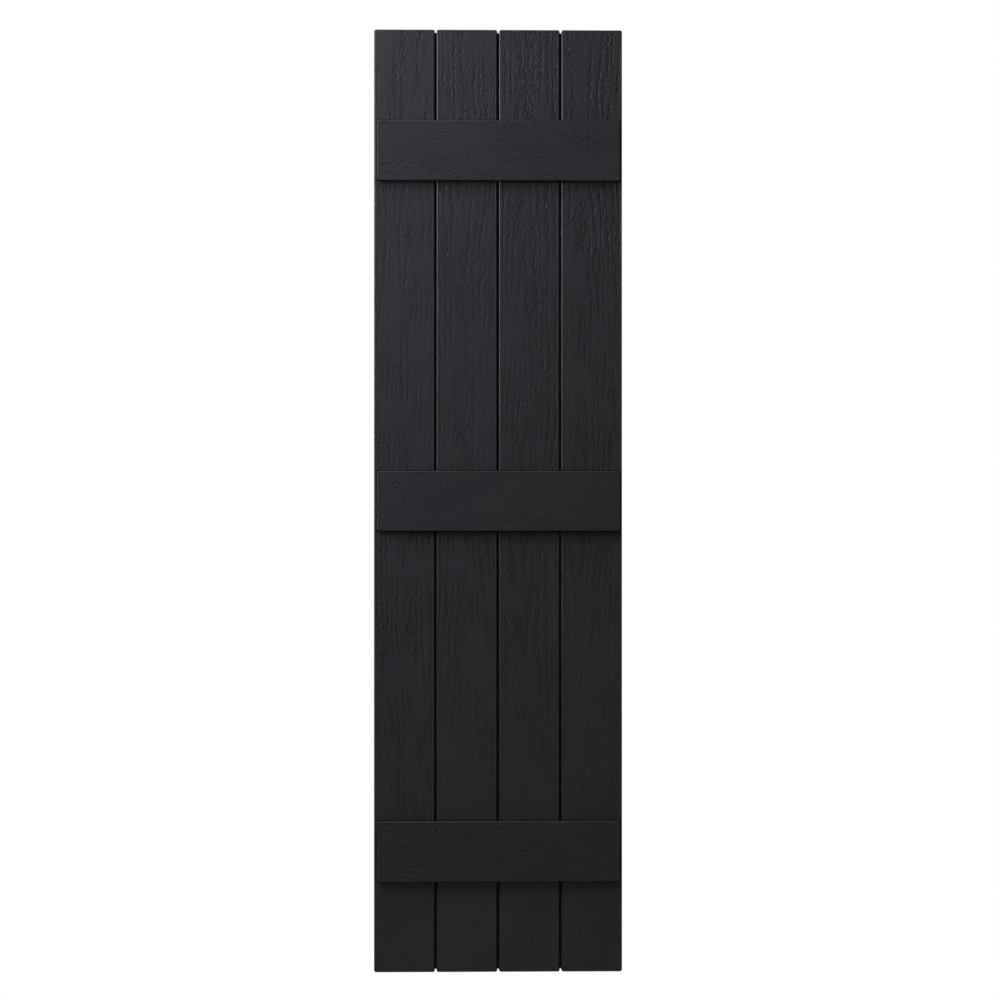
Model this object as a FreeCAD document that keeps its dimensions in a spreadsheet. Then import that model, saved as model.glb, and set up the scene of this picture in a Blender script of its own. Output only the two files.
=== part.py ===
import FreeCAD
import Part
import Sketcher
import os

# Board and batten shutter: four hollow-backed boards, lapped edge to edge, and three battens across them.
# Millimetres, +Z up. The front faces -Y, the back rims lie on Y = 0, and the origin is the back's centre.

# Driving dimensions, which go into the sheet under these names.
SIZES = {
    "shutter_height": 1397,     # length of each board
    "board_width": 90.1,        # face of one board
    "board_gap": 2.5,           # groove between two boards
    "board_depth": 19,          # back rim to front face of a board
    "face_wall": 3,             # thickness of a board's face
    "side_wall": 2.5,           # thickness of a board's sides and ends
    "board_edge_round": 2,      # round along a board's front edges
    "board_corner_round": 3.2,  # round on a board's corners in front view
    "rib_bays": 12,             # bays that the cross ribs make in a board's back
    "rib_thickness": 2,
    "rib_setback": 1,           # ribs stop this far short of the lap
    "lap_thickness": 3,         # tongue that closes a groove from behind
    "lap_reach": 9,             # how far the tongue runs behind the next board
    "lap_end_inset": 3.2,       # tongue stops this far from the boards' ends
    "lap_end_clearance": 0.5,   # room at each end of the tongue's rebate
    "batten_height": 89,
    "batten_depth": 9.5,        # how far a batten stands proud of the boards
    "batten_inset": 4,          # from the shutter's side to a batten's end
    "batten_margin": 135,       # from a board's end to the outer edge of the nearest batten
    "batten_face": 2.5,         # thickness of a batten's face
    "batten_wall": 2.5,         # thickness of a batten's sides
    "batten_edge_round": 1.5,   # round along a batten's front edges
    "batten_corner_round": 2,   # round on a batten's corners in front view
    "screw_pitch": 45,          # between the two screws of a board at a batten
    "screw_hole": 5,            # clearance hole in a board's face
    "screw_land_border": 6,     # from a screw hole to the edge of the raised land round the pair
    "screw_land_height": 2,     # how far the land stands up inside the board
    "screw_post": 10,           # post inside a batten that takes the screw
}

# Boards from left to right and battens from the bottom up, as seen from the front.
BOARD_NAMES = ("left_outer_board", "left_inner_board", "right_inner_board", "right_outer_board")
BATTEN_NAMES = ("bottom_batten", "middle_batten", "top_batten")
SCREWS_PER_CROSSING = 2

BOARD_PITCH = "(sizes.board_width + sizes.board_gap)"
BATTEN_PITCH = "(sizes.shutter_height / 2 - sizes.batten_margin - sizes.batten_height / 2)"

doc = FreeCAD.newDocument("board_and_batten_shutter")
sheet = doc.addObject("Spreadsheet::Sheet", "sizes")
for row, (alias, value) in enumerate(SIZES.items(), start=1):
    sheet.set(f"A{row}", alias)
    sheet.set(f"B{row}", str(value))
    sheet.setAlias(f"B{row}", alias)
doc.recompute()


def centred_places(count):
    """Places of a row of like pieces about its middle, in units of their pitch."""
    return [index - (count - 1) / 2 for index in range(count)]


def new_body(name, x="0", y="0", z="0"):
    """An empty body placed by three expressions."""
    body = doc.addObject("PartDesign::Body", name)
    body.Label = name
    for axis, expression in zip("xyz", (x, y, z)):
        body.setExpression(f".Placement.Base.{axis}", expression)
    return body


def new_sketch(body, name, depth="0"):
    """A front-view sketch that lies the given depth in front of the body's own back plane."""
    plane = next(item for item in body.Origin.OriginFeatures if item.Role == "XZ_Plane")
    sketch = body.newObject("Sketcher::SketchObject", f"{body.Name}_{name}")
    sketch.AttachmentSupport = [(plane, "")]
    sketch.MapMode = "FlatFace"
    sketch.setExpression(".AttachmentOffset.Base.z", depth)
    return sketch


def bind_point(sketch, kind, geometry, point, expression):
    """Hold one coordinate of a sketch point at an expression, measured from the sketch's origin."""
    value = float(sketch.evalExpression(expression))
    index = sketch.addConstraint(Sketcher.Constraint(kind, -1, 1, geometry, point, value))
    sketch.setExpression(f"Constraints[{index}]", expression)


def add_rectangle(sketch, left, right, bottom, top):
    """A rectangle whose four sides stand at the given expressions."""
    x0, x1, z0, z1 = (float(sketch.evalExpression(side)) for side in (left, right, bottom, top))
    corners = [FreeCAD.Vector(x, z, 0) for x, z in ((x0, z0), (x1, z0), (x1, z1), (x0, z1))]
    lines = [
        sketch.addGeometry(Part.LineSegment(start, end))
        for start, end in zip(corners, corners[1:] + corners[:1])
    ]
    for line, following in zip(lines, lines[1:] + lines[:1]):
        sketch.addConstraint(Sketcher.Constraint("Coincident", line, 2, following, 1))
    for line, direction in zip(lines, ("Horizontal", "Vertical", "Horizontal", "Vertical")):
        sketch.addConstraint(Sketcher.Constraint(direction, line))
    bind_point(sketch, "DistanceX", lines[0], 1, left)
    bind_point(sketch, "DistanceY", lines[0], 1, bottom)
    bind_point(sketch, "DistanceX", lines[2], 1, right)
    bind_point(sketch, "DistanceY", lines[2], 1, top)


def add_centred_rectangle(sketch, width, height):
    """A rectangle about the sketch's origin."""
    add_rectangle(sketch, f"-({width}) / 2", f"({width}) / 2", f"-({height}) / 2", f"({height}) / 2")


def add_circle(sketch, diameter, x, z):
    """A circle whose diameter and centre follow three expressions."""
    centre = FreeCAD.Vector(float(sketch.evalExpression(x)), float(sketch.evalExpression(z)), 0)
    size = float(sketch.evalExpression(diameter))
    circle = sketch.addGeometry(Part.Circle(centre, FreeCAD.Vector(0, 0, 1), size / 2))
    bind_point(sketch, "DistanceX", circle, 3, x)
    bind_point(sketch, "DistanceY", circle, 3, z)
    index = sketch.addConstraint(Sketcher.Constraint("Diameter", circle, size))
    sketch.setExpression(f"Constraints[{index}]", diameter)


def pad(body, sketch, length):
    """Raise a sketch towards the front."""
    feature = body.newObject("PartDesign::Pad", f"{sketch.Name}_pad")
    feature.Profile = sketch
    feature.setExpression("Length", length)
    doc.recompute()
    return feature


def pocket(body, sketch, length=None):
    """Cut a sketch towards the front, right through where no length is given."""
    volume = body.Shape.Volume
    feature = body.newObject("PartDesign::Pocket", f"{sketch.Name}_pocket")
    feature.Profile = sketch
    feature.Reversed = True
    if length is None:
        feature.Type = "ThroughAll"
    else:
        feature.setExpression("Length", length)
    doc.recompute()
    if not body.Shape.Volume < volume:
        raise RuntimeError(f"{feature.Name} cut nothing")
    return feature


def fillet(body, name, base, subshapes, radius):
    """Round the named edges, or all edges of the named faces, of the last feature."""
    feature = body.newObject("PartDesign::Fillet", f"{body.Name}_{name}")
    feature.Base = (base, subshapes)
    feature.setExpression("Radius", radius)
    doc.recompute()
    return feature


def depth_edges(shape):
    """Names of the edges that run straight from back to front."""
    names = []
    for index, edge in enumerate(shape.Edges, start=1):
        ends = [vertex.Point for vertex in edge.Vertexes]
        if len(ends) == 2 and abs(ends[0].y - ends[1].y) > 0.9 * edge.Length:
            names.append(f"Edge{index}")
    return names


def front_face(shape):
    """Name of the flat face that lies furthest forward."""
    centres = [face.CenterOfMass.y for face in shape.Faces]
    return f"Face{centres.index(min(centres)) + 1}"


def moulded_blank(body, width, height, depth, corner_round, edge_round):
    """A block with rounded corners in front view and a round along its front edges."""
    outline = new_sketch(body, "outline")
    add_centred_rectangle(outline, width, height)
    block = pad(body, outline, depth)
    corners = fillet(body, "corner_round", block, depth_edges(block.Shape), corner_round)
    fillet(body, "edge_round", corners, [front_face(corners.Shape)], edge_round)


def make_board(name, place, tongue, rebate):
    """One hollow-backed board: its tongue closes the groove on its right, its rebate takes the tongue
    of the board on its left."""
    body = new_body(name, x=f"{place} * {BOARD_PITCH}")
    moulded_blank(
        body, "sizes.board_width", "sizes.shutter_height", "sizes.board_depth",
        "sizes.board_corner_round", "sizes.board_edge_round",
    )

    hollow = new_sketch(body, "hollow")
    add_centred_rectangle(
        hollow, "sizes.board_width - 2 * sizes.side_wall", "sizes.shutter_height - 2 * sizes.side_wall",
    )
    pocket(body, hollow, "sizes.board_depth - sizes.face_wall")

    # Cross ribs run half a wall into the sides and the face, which they grow out of.
    rib_back = "(sizes.lap_thickness + sizes.rib_setback)"
    rib_pitch = "sizes.shutter_height / sizes.rib_bays"
    rib_foot = f"-sizes.shutter_height / 2 + {rib_pitch}"
    rib_sketch = new_sketch(body, "rib", rib_back)
    add_rectangle(
        rib_sketch,
        "-(sizes.board_width - sizes.side_wall) / 2", "(sizes.board_width - sizes.side_wall) / 2",
        f"{rib_foot} - sizes.rib_thickness / 2", f"{rib_foot} + sizes.rib_thickness / 2",
    )
    rib = pad(body, rib_sketch, f"sizes.board_depth - sizes.face_wall / 2 - {rib_back}")
    ribs = body.newObject("PartDesign::LinearPattern", f"{name}_ribs")
    ribs.Originals = [rib]
    ribs.Direction = (rib_sketch, ["V_Axis"])
    ribs.setExpression("Length", f"(sizes.rib_bays - 2) * {rib_pitch}")
    ribs.setExpression("Occurrences", "sizes.rib_bays - 1")
    body.Tip = ribs
    doc.recompute()

    # Behind each batten the face has a raised land with clearance holes for the batten's screws.
    land_back = "sizes.board_depth - sizes.face_wall - sizes.screw_land_height"
    land_half_width = "(sizes.screw_hole / 2 + sizes.screw_land_border)"
    screw_places = centred_places(SCREWS_PER_CROSSING)
    lands = new_sketch(body, "screw_lands", land_back)
    holes = new_sketch(body, "screw_holes", land_back)
    for step in centred_places(len(BATTEN_NAMES)):
        screw_heights = [
            f"{step} * {BATTEN_PITCH} + {screw} * sizes.screw_pitch" for screw in screw_places
        ]
        add_rectangle(
            lands, f"-{land_half_width}", land_half_width,
            f"{screw_heights[0]} - {land_half_width}", f"{screw_heights[-1]} + {land_half_width}",
        )
        for height in screw_heights:
            add_circle(holes, "sizes.screw_hole", "0", height)
    pad(body, lands, "sizes.screw_land_height + sizes.face_wall / 2")
    pocket(body, holes)

    lap_half_length = "sizes.shutter_height / 2 - sizes.lap_end_inset"
    if tongue:
        lap = new_sketch(body, "tongue")
        add_rectangle(
            lap,
            "(sizes.board_width - sizes.side_wall) / 2",
            "sizes.board_width / 2 + sizes.board_gap + sizes.lap_reach",
            f"-({lap_half_length})", lap_half_length,
        )
        pad(body, lap, "sizes.lap_thickness")
    if rebate:
        slot_half_length = f"{lap_half_length} + sizes.lap_end_clearance"
        slot = new_sketch(body, "rebate")
        add_rectangle(
            slot,
            "-sizes.board_width / 2 - sizes.side_wall", "-sizes.board_width / 2 + sizes.side_wall",
            f"-({slot_half_length})", slot_half_length,
        )
        pocket(body, slot, "sizes.lap_thickness")
    return body


def make_batten(name, step):
    """One batten: a shell that sits open side down on the boards, with a post for each screw."""
    body = new_body(name, y="-sizes.board_depth", z=f"{step} * {BATTEN_PITCH}")
    boards = len(BOARD_NAMES)
    length = (
        f"({boards} * sizes.board_width + {boards - 1} * sizes.board_gap - 2 * sizes.batten_inset)"
    )
    moulded_blank(
        body, length, "sizes.batten_height", "sizes.batten_depth",
        "sizes.batten_corner_round", "sizes.batten_edge_round",
    )

    hollow = new_sketch(body, "hollow")
    add_centred_rectangle(
        hollow, f"{length} - 2 * sizes.batten_wall", "sizes.batten_height - 2 * sizes.batten_wall",
    )
    for place in centred_places(boards):
        for screw in centred_places(SCREWS_PER_CROSSING):
            add_circle(
                hollow, "sizes.screw_post", f"{place} * {BOARD_PITCH}", f"{screw} * sizes.screw_pitch",
            )
    pocket(body, hollow, "sizes.batten_depth - sizes.batten_face")
    return body


board_places = centred_places(len(BOARD_NAMES))
pieces = [
    make_board(name, place, tongue=place < board_places[-1], rebate=place > board_places[0])
    for name, place in zip(BOARD_NAMES, board_places)
]
pieces += [
    make_batten(name, step) for name, step in zip(BATTEN_NAMES, centred_places(len(BATTEN_NAMES)))
]
doc.recompute()

for item in doc.Objects:
    if "Invalid" in item.State or "Error" in item.State:
        raise RuntimeError(f"{item.Name} failed: {item.State}")
for piece in pieces:
    if piece.Shape.isNull() or not piece.Shape.isValid() or len(piece.Shape.Solids) != 1:
        raise RuntimeError(f"{piece.Label} is not one valid solid")

os.makedirs("parts", exist_ok=True)
for piece in pieces:
    piece.Shape.exportStep(f"parts/{piece.Label}.step")
    print(piece.Label, round(piece.Shape.Volume), "mm3")
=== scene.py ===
import math

import bmesh
import bpy
import numpy as np
from mathutils import Matrix, Vector


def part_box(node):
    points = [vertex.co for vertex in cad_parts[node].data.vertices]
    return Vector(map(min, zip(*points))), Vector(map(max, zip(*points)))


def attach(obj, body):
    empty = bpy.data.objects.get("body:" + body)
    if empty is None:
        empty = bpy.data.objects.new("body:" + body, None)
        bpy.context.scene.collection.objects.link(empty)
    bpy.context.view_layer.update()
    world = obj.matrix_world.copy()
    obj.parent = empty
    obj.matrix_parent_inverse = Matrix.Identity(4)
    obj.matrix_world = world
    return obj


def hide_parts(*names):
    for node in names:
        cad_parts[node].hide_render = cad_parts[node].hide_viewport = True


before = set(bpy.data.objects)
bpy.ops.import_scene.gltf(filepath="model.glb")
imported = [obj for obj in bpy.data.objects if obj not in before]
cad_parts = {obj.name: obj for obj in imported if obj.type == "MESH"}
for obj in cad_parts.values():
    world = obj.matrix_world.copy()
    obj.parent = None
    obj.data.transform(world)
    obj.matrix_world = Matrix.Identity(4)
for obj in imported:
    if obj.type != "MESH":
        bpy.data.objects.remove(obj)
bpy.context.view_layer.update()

# Looks of a board and batten shutter in black plastic that is embossed with wood grain.
# Metres, +Z up, front to -Y.

MM = 0.001

# Boards from left to right: seed of the grain, its depth at even steps from the bottom up, and its
# knots. A knot is a place from the board's middle, across and up, with half its width and half its
# height, in millimetres.
BOARDS = {
    "left_outer_board": (
        11, (0.8, 1.9, 2.7, 2.3, 2.0, 1.8, 2.2), [(9, -188, 4, 13)],
    ),
    "left_inner_board": (
        12, (0.7, 1.2, 2.1, 2.4, 1.8, 2.2, 2.3), [(-16, 92, 4, 14), (12, -455, 4, 12)],
    ),
    "right_inner_board": (
        13, (0.6, 1.1, 2.1, 2.4, 1.8, 2.6, 2.7), [(2, 297, 7, 21)],
    ),
    "right_outer_board": (
        14, (0.5, 0.9, 1.6, 2.4, 2.0, 2.9, 2.5), [(8, 352, 5, 18), (-18, -262, 4, 13)],
    ),
}
# Battens: seed of the grain and its depth at the left end and at the right end.
BATTENS = {
    "top_batten": (21, (2.1, 2.2)),
    "middle_batten": (22, (1.9, 1.2)),
    "bottom_batten": (23, (3.9, 0.6)),
}
DEEPEST_GRAIN = 4.0

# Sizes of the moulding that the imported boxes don't give.
BOARD_EDGE_ROUND = 2.0 * MM
BOARD_CORNER_ROUND = 3.2 * MM
BOARD_FACE_WALL = 3.0 * MM
BATTEN_EDGE_ROUND = 1.5 * MM
BATTEN_CORNER_ROUND = 2.0 * MM
BATTEN_FACE_WALL = 2.5 * MM
SCREW_LAND_HEIGHT = 2.0 * MM
SCREW_PITCH = 45.0 * MM

# Grid of the embossed faces: close lines across the grain, wider ones along it.
STEP_ACROSS_GRAIN = 0.9 * MM
STEP_ALONG_GRAIN = 1.7 * MM
CORNER_STEPS = 4
ROUND_STEPS = 5
GRAIN_FADE = 1.5 * MM
# The plain face is cut away to one share of the wall, and the embossed panel reaches a little deeper.
CUT_SHARE = 0.75
PANEL_SHARE = 0.85

# Grain of the boards. A cell is the size of a noise, across and along the grain.
BOARD_BENDS = [(5.0 * MM, (60 * MM, 320 * MM)), (1.4 * MM, (22 * MM, 90 * MM))]
HEART_SPREAD = 14 * MM
HEART_WANDER, HEART_CELL = 6 * MM, 500 * MM
PITH_DEPTH, PITH_WANDER, PITH_CELL = 14 * MM, 12 * MM, 420 * MM
RING_SPACING = 8.0 * MM
RING_WAVER, RING_CELL = 0.4, (7 * MM, 45 * MM)
RINGS_IN_KNOT = 1.6
BOARD_PATCH_CELL = (17 * MM, 55 * MM)
# Grain of the battens.
BATTEN_BEND, BATTEN_BEND_CELL = 2.0 * MM, (40 * MM, 160 * MM)
BATTEN_PATCH_CELL = (16 * MM, 50 * MM)
# Pores: size of the cells that hold them, across and along the grain, and the share that does.
BOARD_WIDE_PORES = (3.2 * MM, 5.0 * MM, 0.8)
BOARD_FINE_PORES = (2.4 * MM, 3.6 * MM, 0.85)
BATTEN_WIDE_PORES = (4.8 * MM, 7.5 * MM, 0.6)
BATTEN_FINE_PORES = (3.4 * MM, 5.0 * MM, 0.7)
# Depths of the parts of the grain, in millimetres where the grain's depth is 1.
BOARD_WIDE_DEPTH, BOARD_FINE_DEPTH = 0.17, 0.18
BATTEN_WIDE_DEPTH, BATTEN_FINE_DEPTH = 0.2, 0.16
RING_DEPTH = 0.05
KNOT_RIM_DEPTH, KNOT_CORE_DEPTH = 0.11, 0.04

# Colours of the plastic: its two tones, painted shade in the grain's pores, and painted shadow where a
# batten's foot meets a board.
DARK_TONE = (0.0127, 0.0121, 0.0145, 1)
LIGHT_TONE = (0.0190, 0.0182, 0.0212, 1)
PAINTED_PORE_SHADE = (0.006, 0.0058, 0.007, 1)
PAINTED_SHADOW_TONE = (0.002, 0.002, 0.002, 1)
SHEEN_TINT = (0.91, 0.875, 1, 1)
WHITE = (1, 1, 1, 1)

# Lamps: place, target, width and height, and watts.
LAMPS = {
    "key": ((-1.3, -1.1, 1.1), (0, 0, 0.45), (0.7, 1.1), 22.5),
    "left_strip": ((-2.0, -0.64, 0.6), (0, 0, 0.3), (0.43, 1.1), 22),
    "top_left": ((-0.8, -0.6, 1.7), (0, 0, 0.2), (0.8, 0.8), 22),
    "overhead": ((0, -1.2, 3.2), (0, 0, -0.3), (1.6, 1.0), 8),
    "front_fill": ((0.3, -4.5, -0.2), (0, 0, 0), (2.0, 2.0), 8.3),
    "right_fill": ((2.2, 0.25, 0.2), (0, 0.01, 0), (0.5, 1.2), 14),
    "back_fill": ((0.1, 1.3, 0.6), (0, 0, -0.2), (0.15, 0.15), 34),
}
WORLD_FILL = 0.01
FLOOR_LEVEL, FLOOR_SIZE = -1.6, 3.0
FLOOR_TONE = (0.85, 0.85, 0.85, 1)
FLOOR_WHITENESS = 0.97

# Camera: a long lens a little to the left. The rest says where the shutter lies in the square
# photograph, in pixels.
CAMERA_DISTANCE = 6.0
CAMERA_AZIMUTH = math.radians(-1.9)
PHOTO_SIZE = 1000
SHUTTER_PIXELS = 942.2
SHUTTER_CENTRE = (498.2, 500.9)

SHARP_ANGLE = math.radians(32)
JOIN_DISTANCE = 0.001 * MM
ALMOST_ZERO = 1e-9

board_low, board_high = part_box("right_outer_board")
BOARD_WIDTH = board_high.x - board_low.x
BOARD_HEIGHT = board_high.z - board_low.z
BOARD_FRONT = board_low.y


# Geometry of the embossed faces

def mix(low, high, share):
    """A value between two others."""
    return low + (high - low) * share


def smooth_step(low, high, value):
    """0 below low, 1 above high, and a soft rise between them."""
    t = np.clip((value - low) / (high - low), 0, 1)
    return t * t * (3 - 2 * t)


def smooth_noise(rng, across, along, cell_across, cell_along):
    """Noise from -1 to 1 on a random lattice whose cells have the given size."""
    u = (across - across.min()) / cell_across
    v = (along - along.min()) / cell_along
    lattice = rng.uniform(-1, 1, (int(u.max()) + 2, int(v.max()) + 2))
    i, j = u.astype(int), v.astype(int)
    share_u, share_v = smooth_step(0, 1, u - i), smooth_step(0, 1, v - j)
    low = mix(lattice[i, j], lattice[i, j + 1], share_v)
    high = mix(lattice[i + 1, j], lattice[i + 1, j + 1], share_v)
    return mix(low, high, share_u)


def pore_marks(rng, across, along, cell_across, cell_along, share):
    """Depth, 0 to 1, of short tapered grooves along the grain; a share of the cells holds one each."""
    u = (across - across.min()) / cell_across + 1
    v = (along - along.min()) / cell_along + 2
    cells = (int(u.max()) + 3, int(v.max()) + 4)
    shift = rng.uniform(0, 1, cells[0])
    middle_u = rng.uniform(0.15, 0.85, cells)
    middle_v = rng.uniform(0.1, 0.9, cells)
    half_width = rng.uniform(0.24, 0.5, cells)
    half_length = rng.uniform(0.25, 0.85, cells)
    depth = rng.uniform(0.35, 1, cells) * (rng.uniform(0, 1, cells) < share)
    marks = np.zeros_like(u)
    for step_u in (-1, 0, 1):
        i = u.astype(int) + step_u
        shifted = v + shift[i]
        for step_v in (-1, 0, 1):
            j = shifted.astype(int) + step_v
            away_u = (u - i - middle_u[i, j]) / half_width[i, j]
            away_v = (shifted - j - middle_v[i, j]) / half_length[i, j]
            groove = np.clip(1 - away_u ** 2, 0, 1) ** 2 * np.clip(1 - away_v ** 2, 0, 1)
            marks = np.maximum(marks, depth[i, j] * groove)
    return marks


def part_round_knots(across, along, knots):
    """Place across the grain once its lines part round the knots, how deep each point lies in a knot,
    and how near it lies to a knot's rim."""
    turn_sharpness, reach, core_sharpness, rim_width = 3, 2.5, 1.4, 0.25
    bent = across.copy()
    inside, rim = np.zeros_like(across), np.zeros_like(across)
    for x, z, half_width, half_height in knots:
        side = (across - x * MM) / (half_width * MM)
        up = (along - z * MM) / (half_height * MM)
        swell = half_width * MM * np.exp(-up ** 2)
        bent -= swell * np.tanh(turn_sharpness * side) * np.exp(-np.abs(side) / reach)
        inside = np.maximum(inside, np.exp(-core_sharpness * (side ** 2 + up ** 2)))
        rim = np.maximum(rim, np.exp(-((np.hypot(side, up) - 1) / rim_width) ** 2))
    return bent, inside, rim


def depth_along(along, half_length, depths):
    """The grain's depth at places along a piece, from its depths at even steps."""
    return np.interp(along, np.linspace(-half_length, half_length, len(depths)), depths)


def board_grain(rng, across, along, depth, knots):
    """Height of a board's embossed grain: growth rings that rise in arches, and short open pores."""
    bent, inside, rim = part_round_knots(across, along, knots)
    for reach, cell in BOARD_BENDS:
        bent += reach * smooth_noise(rng, across, along, *cell)

    # The rings lie round a heart that wanders along the board, so that the face cuts them in arches.
    heart = rng.uniform(-HEART_SPREAD, HEART_SPREAD)
    heart = heart + HEART_WANDER * smooth_noise(rng, along, along, HEART_CELL, HEART_CELL)
    pith = PITH_DEPTH + PITH_WANDER * smooth_noise(rng, along, along, PITH_CELL, PITH_CELL)
    rings = np.hypot(bent - heart, pith) / RING_SPACING
    rings += RING_WAVER * smooth_noise(rng, bent, along, *RING_CELL) + RINGS_IN_KNOT * inside
    ring_line = (0.5 + 0.5 * np.cos(2 * np.pi * rings)) ** 2

    # Pores are deepest along the rings and in patches that spread where the grain is deep, and almost
    # leave out the knots. The fine ones fade where the grain is shallow.
    wide = BOARD_WIDE_DEPTH * pore_marks(rng, bent, along, *BOARD_WIDE_PORES)
    fine = BOARD_FINE_DEPTH * pore_marks(rng, bent, along, *BOARD_FINE_PORES)
    cover = smooth_noise(rng, bent, along, *BOARD_PATCH_CELL) + 0.3 * (depth - 1.5)
    patches = smooth_step(-0.45, 0.4, cover) * mix(1, 0.15, inside)
    pores = (wide + fine * smooth_step(0.3, 2.2, depth)) * mix(0.85, 1.45, ring_line)
    lines = RING_DEPTH * ring_line * mix(0.4, 1, patches)
    lines += KNOT_RIM_DEPTH * rim + KNOT_CORE_DEPTH * inside
    return -MM * depth * (lines + pores * mix(0.15, 1, patches))


def batten_grain(rng, across, along, depth):
    """Height of a batten's embossed grain, which is sparser than a board's and has no rings."""
    bent = across + BATTEN_BEND * smooth_noise(rng, across, along, *BATTEN_BEND_CELL)
    wide = BATTEN_WIDE_DEPTH * pore_marks(rng, bent, along, *BATTEN_WIDE_PORES)
    fine = BATTEN_FINE_DEPTH * pore_marks(rng, bent, along, *BATTEN_FINE_PORES)
    patches = smooth_step(-0.5, 0.6, smooth_noise(rng, across, along, *BATTEN_PATCH_CELL))
    return -MM * depth * (wide + fine) * mix(0.2, 1, patches)


def graded_lines(low, high, step, corner):
    """Even grid lines, with closer ones at both ends where the corners are rounded."""
    close = np.linspace(0, corner, CORNER_STEPS + 1)[:-1]
    count = max(2, round((high - low - 2 * corner) / step) + 1)
    even = np.linspace(low + corner, high - corner, count)
    return np.concatenate([low + close, even, (high - close)[::-1]])


def embossed_panel(low, high, front, edge_round, corner_round, thickness, grain, along_z):
    """Closed mesh of a rounded panel whose front carries the grain; low and high are its (x, z)
    corners."""
    flat_low = [value + edge_round for value in low]
    flat_high = [value - edge_round for value in high]
    corner = corner_round - edge_round
    steps = (STEP_ACROSS_GRAIN, STEP_ALONG_GRAIN)
    if not along_z:
        steps = steps[::-1]
    lines = [graded_lines(a, b, step, corner) for a, b, step in zip(flat_low, flat_high, steps)]
    x, z = np.meshgrid(*lines, indexing="ij")

    # The square corners of the grid are drawn in to arcs.
    dx = np.maximum(0, np.maximum(flat_low[0] + corner - x, x - flat_high[0] + corner))
    dz = np.maximum(0, np.maximum(flat_low[1] + corner - z, z - flat_high[1] + corner))
    reach = np.hypot(dx, dz)
    pull = np.where(reach > 0, np.maximum(dx, dz) / np.maximum(reach, ALMOST_ZERO), 1)
    middle = [(a + b) / 2 for a, b in zip(low, high)]
    side_x, side_z = np.sign(x - middle[0]), np.sign(z - middle[1])
    x = x - side_x * dx * (1 - pull)
    z = z - side_z * dz * (1 - pull)

    # The grain fades out towards the rounded edges.
    border = np.minimum.reduce(
        [x - flat_low[0], flat_high[0] - x, z - flat_low[1], flat_high[1] - z]
    )
    across, along = x - middle[0], z - middle[1]
    if not along_z:
        across, along = along, across
    y = front - grain(across, along) * smooth_step(0, GRAIN_FADE, border)

    columns, rows = x.shape
    index = np.arange(columns * rows).reshape(columns, rows)
    vertices = [np.column_stack([x.ravel(), y.ravel(), z.ravel()])]
    corners = [index[:-1, :-1], index[1:, :-1], index[1:, 1:], index[:-1, 1:]]
    faces = np.stack(corners, -1).reshape(-1, 4).tolist()

    # Rings of the rounded edge and the side, out from the grid's border.
    loop = np.concatenate([index[:-1, 0], index[-1, :-1], index[:0:-1, -1], index[0, :0:-1]])
    out = np.column_stack([(side_x * dx).ravel()[loop], (side_z * dz).ravel()[loop]])
    on_side_x = np.isin(loop, np.concatenate([index[0], index[-1]]))
    straight = np.column_stack([
        np.where(on_side_x, side_x.ravel()[loop], 0),
        np.where(on_side_x, 0, side_z.ravel()[loop]),
    ])
    length = np.linalg.norm(out, axis=1, keepdims=True)
    in_corner = (np.abs(out) > ALMOST_ZERO).all(axis=1, keepdims=True)
    out = np.where(in_corner, out / np.maximum(length, ALMOST_ZERO), straight)
    plan = np.column_stack([x.ravel()[loop], z.ravel()[loop]])
    profile = [
        (edge_round * math.sin(turn), edge_round * (1 - math.cos(turn)))
        for turn in np.linspace(0, math.pi / 2, ROUND_STEPS + 1)[1:]
    ]
    profile.append((edge_round, thickness))
    previous = loop
    for reach_out, drop in profile:
        ring = plan + out * reach_out
        start = sum(len(block) for block in vertices)
        current = np.arange(start, start + len(loop))
        level = np.full(len(loop), front + drop)
        vertices.append(np.column_stack([ring[:, 0], level, ring[:, 1]]))
        band = [previous, current, np.roll(current, -1), np.roll(previous, -1)]
        faces += np.stack(band, -1).tolist()
        previous = current
    faces.append(previous[::-1].tolist())
    mesh = bpy.data.meshes.new("embossed_panel")
    mesh.from_pydata(np.concatenate(vertices).tolist(), [], faces)
    return mesh


# Pieces

def new_object(name, data):
    """An object in the scene for a mesh, a lamp or a camera."""
    item = bpy.data.objects.new(name, data)
    bpy.context.scene.collection.objects.link(item)
    return item


def mesh_of(form, name):
    """The mesh of a finished form."""
    mesh = bpy.data.meshes.new(name)
    form.to_mesh(mesh)
    form.free()
    return mesh


def box_mesh(low, high):
    """A plain box, for cutting."""
    form = bmesh.new()
    bmesh.ops.create_cube(form, size=1)
    size = [b - a for a, b in zip(low, high)]
    centre = [(a + b) / 2 for a, b in zip(low, high)]
    bmesh.ops.scale(form, vec=size, verts=form.verts)
    bmesh.ops.translate(form, vec=centre, verts=form.verts)
    return mesh_of(form, "cutter")


def joined_shell(node_name):
    """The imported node's mesh with its facets joined to one closed shell, without its stored normals."""
    form = bmesh.new()
    form.from_mesh(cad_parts[node_name].data)
    bmesh.ops.remove_doubles(form, verts=form.verts, dist=JOIN_DISTANCE)
    mesh = mesh_of(form, node_name)
    stored = mesh.attributes.get("custom_normal")
    if stored:
        mesh.attributes.remove(stored)
    return mesh


def combine(base, steps):
    """Apply boolean steps, pairs of an operation and a mesh, to a mesh."""
    scratch = [new_object("scratch_base", base)]
    for operation, mesh in steps:
        tool = new_object("scratch_tool", mesh)
        scratch.append(tool)
        modifier = scratch[0].modifiers.new(operation, "BOOLEAN")
        modifier.operation = operation
        modifier.solver = "MANIFOLD"
        modifier.object = tool
    bpy.context.view_layer.update()
    result = bpy.data.meshes.new_from_object(
        scratch[0].evaluated_get(bpy.context.evaluated_depsgraph_get())
    )
    for item in scratch:
        bpy.data.objects.remove(item)
    return result


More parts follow.
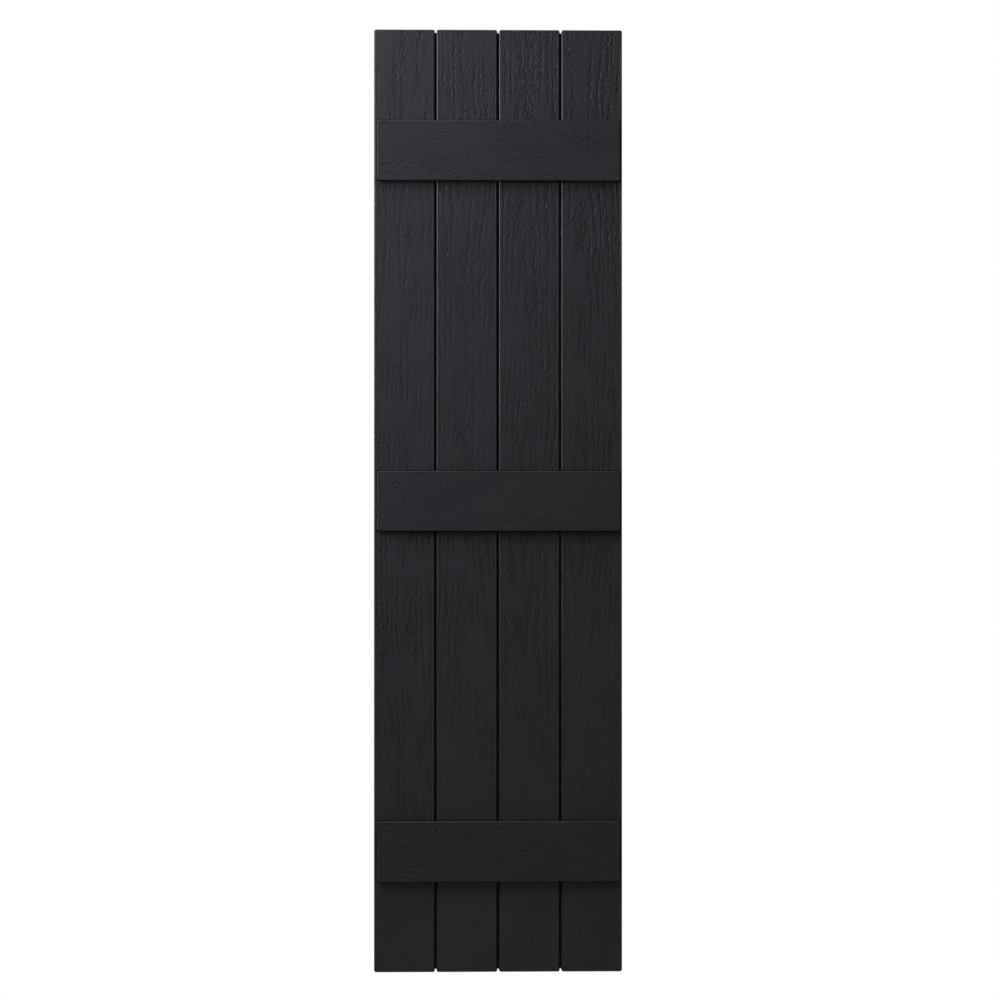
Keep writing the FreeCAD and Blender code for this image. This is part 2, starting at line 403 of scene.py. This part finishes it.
def finish_piece(item, material, slot_name=None, *nodes):
    """Shade, dress and place a finished piece."""
    mesh = item.data
    mesh.polygons.foreach_set("use_smooth", [True] * len(mesh.polygons))
    mesh.set_sharp_from_angle(angle=SHARP_ANGLE)
    mesh.materials.clear()
    mesh.materials.append(material)
    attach(item, "root")
    if nodes:
        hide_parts(*nodes)


def note_emboss(mesh, low, high, front, edge_round, strength):
    """Store for the material how deep each point lies in the grain, in millimetres, how strong the
    fine grain is there, and which points are on the rounded edge; low and high are the front's (x, z)
    corners."""
    slack, below_grain = 0.01 * MM, 2 * MM
    points = np.empty(3 * len(mesh.vertices), np.float32)
    mesh.vertices.foreach_get("co", points)
    x, y, z = points.reshape(-1, 3).T
    inset = np.minimum.reduce([x - low[0], high[0] - x, z - low[1], high[1] - z])
    on_face = (inset > edge_round - slack) & (y < front + below_grain)
    on_round = ~on_face & (y < front + edge_round + slack)
    values = {
        "grain_depth": np.where(on_face, (y - front) / MM, 0),
        "grain_strength": np.where(on_face, strength(x, z), 0),
        "edge_round": on_round.astype(float),
    }
    for name, data in values.items():
        attribute = mesh.attributes.new(name, "FLOAT", "POINT")
        attribute.data.foreach_set("value", data.astype(np.float32))


def grained_piece(node_name, panel, corners, front, cut_depth, edge_round, strength):
    """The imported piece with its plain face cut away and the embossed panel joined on."""
    low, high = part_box(node_name)
    clear = 10 * MM
    cutter = box_mesh(
        (low.x - clear, low.y - clear, low.z - clear),
        (high.x + clear, front + cut_depth, high.z + clear),
    )
    mesh = combine(joined_shell(node_name), [("DIFFERENCE", cutter), ("UNION", panel)])
    note_emboss(mesh, *corners, front, edge_round, strength)
    return new_object(f"{node_name}_grained", mesh)


def make_board(node_name, seed, depths, knots, material):
    """A board whose grain runs upright; its tongue, which the box takes in, stays plain."""
    low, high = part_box(node_name)
    corners = (low.x, low.z), (low.x + BOARD_WIDTH, high.z)
    rng = np.random.default_rng(seed)

    def grain(across, along):
        return board_grain(rng, across, along, depth_along(along, high.z, depths), knots)

    def strength(x, z):
        return depth_along(z, high.z, depths) / DEEPEST_GRAIN

    panel = embossed_panel(
        *corners, BOARD_FRONT, BOARD_EDGE_ROUND, BOARD_CORNER_ROUND, PANEL_SHARE * BOARD_FACE_WALL,
        grain, along_z=True,
    )
    item = grained_piece(
        node_name, panel, corners, BOARD_FRONT, CUT_SHARE * BOARD_FACE_WALL, BOARD_EDGE_ROUND,
        strength,
    )
    finish_piece(item, material, "board_plastic", node_name)


def make_batten(node_name, seed, depths, material):
    """A batten whose grain runs level."""
    low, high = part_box(node_name)
    corners = (low.x, low.z), (high.x, high.z)
    rng = np.random.default_rng(seed)

    def grain(across, along):
        return batten_grain(rng, across, along, depth_along(along, high.x, depths))

    def strength(x, z):
        return depth_along(x, high.x, depths) / DEEPEST_GRAIN

    panel = embossed_panel(
        *corners, low.y, BATTEN_EDGE_ROUND, BATTEN_CORNER_ROUND, PANEL_SHARE * BATTEN_FACE_WALL,
        grain, along_z=False,
    )
    item = grained_piece(
        node_name, panel, corners, low.y, CUT_SHARE * BATTEN_FACE_WALL, BATTEN_EDGE_ROUND, strength,
    )
    finish_piece(item, material, "batten_plastic", node_name)


def screw_mesh():
    """A pan head screw with a cross recess, its head on Y = 0 and its shank towards -Y."""
    profile = [
        (0, 2.7), (1.5, 2.62), (2.9, 2.3), (3.9, 1.65), (4.45, 0.8), (4.6, 0.25), (4.5, 0),
        (2.0, 0), (2.0, -4.2), (1.6, -4.6), (0, -4.6),
    ]
    sides = 28
    form = bmesh.new()
    points = [form.verts.new((radius * MM, height * MM, 0)) for radius, height in profile]
    edges = [form.edges.new(pair) for pair in zip(points, points[1:])]
    bmesh.ops.spin(
        form, geom=points + edges, axis=(0, 1, 0), cent=(0, 0, 0), angle=2 * math.pi, steps=sides,
        use_merge=True,
    )
    bmesh.ops.remove_doubles(form, verts=form.verts, dist=JOIN_DISTANCE)
    bmesh.ops.recalc_face_normals(form, faces=form.faces)
    arm, half, bottom, above_head = 2.3 * MM, 0.45 * MM, 1.0 * MM, 4 * MM
    cuts = [
        ("DIFFERENCE", box_mesh((-arm, bottom, -half), (arm, above_head, half))),
        ("DIFFERENCE", box_mesh((-half, bottom, -arm), (half, above_head, arm))),
    ]
    return combine(mesh_of(form, "screw"), cuts)


def make_screws(node_name, screw, seed, material):
    """The screws that hold one batten from behind, two to a board."""
    low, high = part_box(node_name)
    rng = np.random.default_rng(seed)
    seat = BOARD_FRONT + BOARD_FACE_WALL + SCREW_LAND_HEIGHT
    form = bmesh.new()
    for board in BOARDS:
        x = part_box(board)[0].x + BOARD_WIDTH / 2
        for offset in (-SCREW_PITCH / 2, SCREW_PITCH / 2):
            place = Matrix.Translation((x, seat, (low.z + high.z) / 2 + offset))
            turned = screw.copy()
            turned.transform(place @ Matrix.Rotation(rng.uniform(0, math.pi / 2), 4, "Y"))
            form.from_mesh(turned)
    finish_piece(new_object(f"{node_name}_screws", mesh_of(form, "screws")), material)


# Materials

def new_material(name):
    """A material with its nodes and its shader."""
    material = bpy.data.materials.new(name)
    material.use_nodes = True
    return material, material.node_tree, material.node_tree.nodes["Principled BSDF"]


def feed(tree, socket, value):
    """Link a value's socket, or set a constant."""
    if isinstance(value, bpy.types.NodeSocket):
        tree.links.new(value, socket)
    else:
        socket.default_value = value


def add_math(tree, operation, *values):
    """A sum on sockets and numbers."""
    node = tree.nodes.new("ShaderNodeMath")
    node.operation = operation
    for socket, value in zip(node.inputs, values):
        feed(tree, socket, value)
    return node.outputs["Value"]


def add_noise(tree, vector, scale, detail):
    """A noise texture on a vector socket."""
    noise = tree.nodes.new("ShaderNodeTexNoise")
    noise.inputs["Scale"].default_value = scale
    noise.inputs["Detail"].default_value = detail
    tree.links.new(vector, noise.inputs["Vector"])
    return noise.outputs["Fac"]


def add_range(tree, value, source, target):
    """Map a value from one range to another."""
    node = tree.nodes.new("ShaderNodeMapRange")
    node.inputs["From Min"].default_value, node.inputs["From Max"].default_value = source
    node.inputs["To Min"].default_value, node.inputs["To Max"].default_value = target
    tree.links.new(value, node.inputs["Value"])
    return node.outputs["Result"]


def add_bump(tree, height, distance, strength, normal=None):
    """A bump, on top of another one if that is given."""
    bump = tree.nodes.new("ShaderNodeBump")
    bump.inputs["Distance"].default_value = distance
    tree.links.new(height, bump.inputs["Height"])
    feed(tree, bump.inputs["Strength"], strength)
    if normal:
        tree.links.new(normal, bump.inputs["Normal"])
    return bump.outputs["Normal"]


def add_tint(tree, factor, first, second):
    """A colour between two others."""
    tint = tree.nodes.new("ShaderNodeMix")
    tint.data_type = "RGBA"
    feed(tree, tint.inputs["Factor"], factor)
    feed(tree, tint.inputs["A"], first)
    feed(tree, tint.inputs["B"], second)
    return tint.outputs["Result"]


def add_attribute(tree, name):
    """A number that is stored on the mesh's points."""
    node = tree.nodes.new("ShaderNodeAttribute")
    node.attribute_name = name
    return node.outputs["Fac"]


def stretched(tree, place, size):
    """A place in units of a size in millimetres along X, Y and Z, for noise that is longer one way."""
    mapping = tree.nodes.new("ShaderNodeMapping")
    mapping.inputs["Scale"].default_value = [1 / (value * MM) for value in size]
    tree.links.new(place, mapping.inputs["Vector"])
    return mapping.outputs["Vector"]


def distance_to_battens(tree, x, z):
    """Distance in front view from a point to the nearest batten."""
    nearest = None
    for node_name in BATTENS:
        low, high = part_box(node_name)
        gaps = []
        for value, a, b in ((x, low.x, high.x), (z, low.z, high.z)):
            off = add_math(tree, "ABSOLUTE", add_math(tree, "SUBTRACT", value, (a + b) / 2))
            gaps.append(add_math(tree, "SUBTRACT", off, (b - a) / 2))
        gap = add_math(tree, "MAXIMUM", *gaps)
        nearest = add_math(tree, "MINIMUM", nearest, gap) if nearest else gap
    return nearest


def shadow_at_batten_feet(tree, place):
    """Painted shadow: how dark it gets, 0 to 1, on the fronts of the boards close to a batten's foot."""
    split = tree.nodes.new("ShaderNodeSeparateXYZ")
    tree.links.new(place, split.inputs["Vector"])
    darkest = 0.8
    fade_out = (0.5 * MM, 2.0 * MM)
    fade_behind = (BOARD_FRONT + 1 * MM, BOARD_FRONT + 2 * MM)
    gap = distance_to_battens(tree, split.outputs["X"], split.outputs["Z"])
    foot = add_range(tree, gap, fade_out, (darkest, 0))
    near_front = add_range(tree, split.outputs["Y"], fade_behind, (1, 0))
    return add_math(tree, "MULTIPLY", foot, near_front)


def grain_plastic(name, fibre_size, dash_size, face_sheen, round_roughness, paint_batten_shadows):
    """Satin black plastic with fibres and dashes of the given sizes in millimetres along X, Y and Z;
    its rounded edges have their own roughness."""
    cloud_scale, pebble_size = 14, 0.9 * MM
    pebble_height, fibre_height, dash_height = 0.03 * MM, 0.12 * MM, 0.5 * MM
    pebble_strength = 0.35
    # Painted shade in the grain's pores: how far the colour goes towards the pore shade, and the share of
    # sheen left there.
    pore_shade_amount, shaded_pore_sheen = 0.32, 0.75
    face_roughness = (0.44, 0.6)
    material, tree, shader = new_material(name)
    links = tree.links
    place = tree.nodes.new("ShaderNodeTexCoord").outputs["Object"]
    fine = add_noise(tree, stretched(tree, place, fibre_size), 1, 4)
    dash = add_noise(tree, stretched(tree, place, dash_size), 1, 1)
    cloud = add_noise(tree, place, cloud_scale, 2)
    pebble = add_noise(tree, place, 1 / pebble_size, 2)
    strength = add_attribute(tree, "grain_strength")
    pore_shade_mask = add_range(tree, add_attribute(tree, "grain_depth"), (0.02, 0.3), (0, 1))

    # Colour clouds a little. Painted shade darkens it and dims the sheen in the grain's pores, and a
    # painted shadow darkens both most where a batten's foot meets a board.
    blend = add_math(tree, "ADD", fine, add_range(tree, cloud, (0, 1), (-0.6, 0.6)))
    colour = add_tint(tree, blend, DARK_TONE, LIGHT_TONE)
    # Painted shade in the pores: darker colour and dimmer sheen where the grain is deep.
    colour = add_tint(tree, add_math(tree, "MULTIPLY", pore_shade_mask, pore_shade_amount), colour, PAINTED_PORE_SHADE)
    sheen = add_range(tree, pore_shade_mask, (0, 1), (face_sheen, shaded_pore_sheen * face_sheen))
    # Painted shadow on the boards round each batten's foot: near-black colour and a fading sheen.
    if paint_batten_shadows:
        foot = shadow_at_batten_feet(tree, place)
        colour = add_tint(tree, foot, colour, PAINTED_SHADOW_TONE)
        sheen = add_math(tree, "MULTIPLY", sheen, add_math(tree, "SUBTRACT", 1.0, foot))
    links.new(colour, shader.inputs["Base Color"])
    links.new(sheen, shader.inputs["Specular IOR Level"])
    shader.inputs["Specular Tint"].default_value = SHEEN_TINT

    rough = add_range(tree, fine, (0, 1), face_roughness)
    to_round = add_math(tree, "SUBTRACT", round_roughness, rough)
    rough = add_math(tree, "MULTIPLY_ADD", to_round, add_attribute(tree, "edge_round"), rough)
    links.new(rough, shader.inputs["Roughness"])
    skin = add_bump(tree, pebble, pebble_height, pebble_strength)
    skin = add_bump(tree, fine, fibre_height, strength, skin)
    links.new(add_bump(tree, dash, dash_height, strength, skin), shader.inputs["Normal"])
    return material


def plated_steel():
    """Zinc-plated steel of the screws."""
    dull, bright = (0.5, 0.5, 0.48, 1), (0.66, 0.67, 0.68, 1)
    cloud_scale = 900
    material, tree, shader = new_material("plated_steel")
    place = tree.nodes.new("ShaderNodeTexCoord").outputs["Object"]
    cloud = add_noise(tree, place, cloud_scale, 3)
    tree.links.new(add_tint(tree, cloud, dull, bright), shader.inputs["Base Color"])
    shader.inputs["Metallic"].default_value = 1
    tree.links.new(add_range(tree, cloud, (0, 1), (0.25, 0.5)), shader.inputs["Roughness"])
    tree.links.new(add_bump(tree, cloud, 0.02 * MM, 0.4), shader.inputs["Normal"])
    return material


# Stage, light and camera

def area_light(name, position, target, size, power):
    """A soft rectangular lamp that points at the target and doesn't show."""
    lamp = bpy.data.lights.new(name, "AREA")
    lamp.shape = "RECTANGLE"
    lamp.size, lamp.size_y = size
    lamp.energy = power
    item = new_object(name, lamp)
    item.location = position
    aim = Vector(target) - Vector(position)
    item.rotation_euler = aim.to_track_quat("-Z", "Y").to_euler()
    item.visible_camera = False


def show_camera(tree, usual, shown, share, surface):
    """Feed a surface with one shader, and show the camera a share of another one in its place."""
    path = tree.nodes.new("ShaderNodeLightPath")
    swap = tree.nodes.new("ShaderNodeMixShader")
    seen = add_math(tree, "MULTIPLY", path.outputs["Is Camera Ray"], share)
    tree.links.new(seen, swap.inputs["Fac"])
    tree.links.new(usual, swap.inputs[1])
    tree.links.new(shown, swap.inputs[2])
    tree.links.new(swap.outputs["Shader"], surface)


def make_world():
    """A dim even fill that the camera sees as white."""
    world = bpy.data.worlds.new("studio")
    world.use_nodes = True
    bpy.context.scene.world = world
    tree = world.node_tree
    ambient = tree.nodes["Background"]
    backdrop = tree.nodes.new("ShaderNodeBackground")
    ambient.inputs["Color"].default_value = WHITE
    ambient.inputs["Strength"].default_value = WORLD_FILL
    backdrop.inputs["Color"].default_value = WHITE
    show_camera(
        tree, ambient.outputs["Background"], backdrop.outputs["Background"], 1,
        tree.nodes["World Output"].inputs["Surface"],
    )


def make_floor():
    """A plain pale floor below the shutter, which the camera sees nearly as white as the backdrop."""
    form = bmesh.new()
    bmesh.ops.create_grid(form, x_segments=1, y_segments=1, size=FLOOR_SIZE / 2)
    mesh = mesh_of(form, "floor")
    floor = new_object("floor", mesh)
    floor.location.z = FLOOR_LEVEL
    material, tree, shader = new_material("pale_floor")
    shader.inputs["Base Color"].default_value = FLOOR_TONE
    shader.inputs["Roughness"].default_value = 0.9
    white = tree.nodes.new("ShaderNodeEmission")
    show_camera(
        tree, shader.outputs["BSDF"], white.outputs["Emission"], FLOOR_WHITENESS,
        tree.nodes["Material Output"].inputs["Surface"],
    )
    mesh.materials.append(material)


def make_camera():
    """The camera in front, framed so that the shutter lies where it does in the photograph."""
    metres_per_pixel = BOARD_HEIGHT / SHUTTER_PIXELS
    camera = bpy.data.cameras.new("camera")
    camera.sensor_width = 36
    camera.lens = camera.sensor_width * CAMERA_DISTANCE / (metres_per_pixel * PHOTO_SIZE)
    camera.shift_x = 0.5 - SHUTTER_CENTRE[0] / PHOTO_SIZE
    camera.shift_y = SHUTTER_CENTRE[1] / PHOTO_SIZE - 0.5
    item = new_object("camera", camera)
    item.location = (
        CAMERA_DISTANCE * math.sin(CAMERA_AZIMUTH),
        BOARD_FRONT - CAMERA_DISTANCE * math.cos(CAMERA_AZIMUTH),
        0,
    )
    item.rotation_euler = (math.pi / 2, 0, CAMERA_AZIMUTH)
    bpy.context.scene.camera = item


# The boards' plastic carries the painted shadow round the battens' feet.
board_plastic = grain_plastic(
    "board_plastic", fibre_size=(0.7, 0.7, 6), dash_size=(1.7, 1.7, 3.6), face_sheen=0.5,
    round_roughness=0.34, paint_batten_shadows=True,
)
batten_plastic = grain_plastic(
    "batten_plastic", fibre_size=(6, 0.7, 0.7), dash_size=(5, 2, 2), face_sheen=0.44,
    round_roughness=0.58, paint_batten_shadows=False,
)
steel = plated_steel()
for node_name, (seed, depths, knots) in BOARDS.items():
    make_board(node_name, seed, depths, knots, board_plastic)
screw = screw_mesh()
for node_name, (seed, depths) in BATTENS.items():
    make_batten(node_name, seed, depths, batten_plastic)
    make_screws(node_name, screw, seed, steel)

make_world()
make_floor()
for name, (position, target, size, power) in LAMPS.items():
    area_light(name, position, target, size, power)
make_camera()

bpy.context.scene.view_settings.view_transform = "Standard"
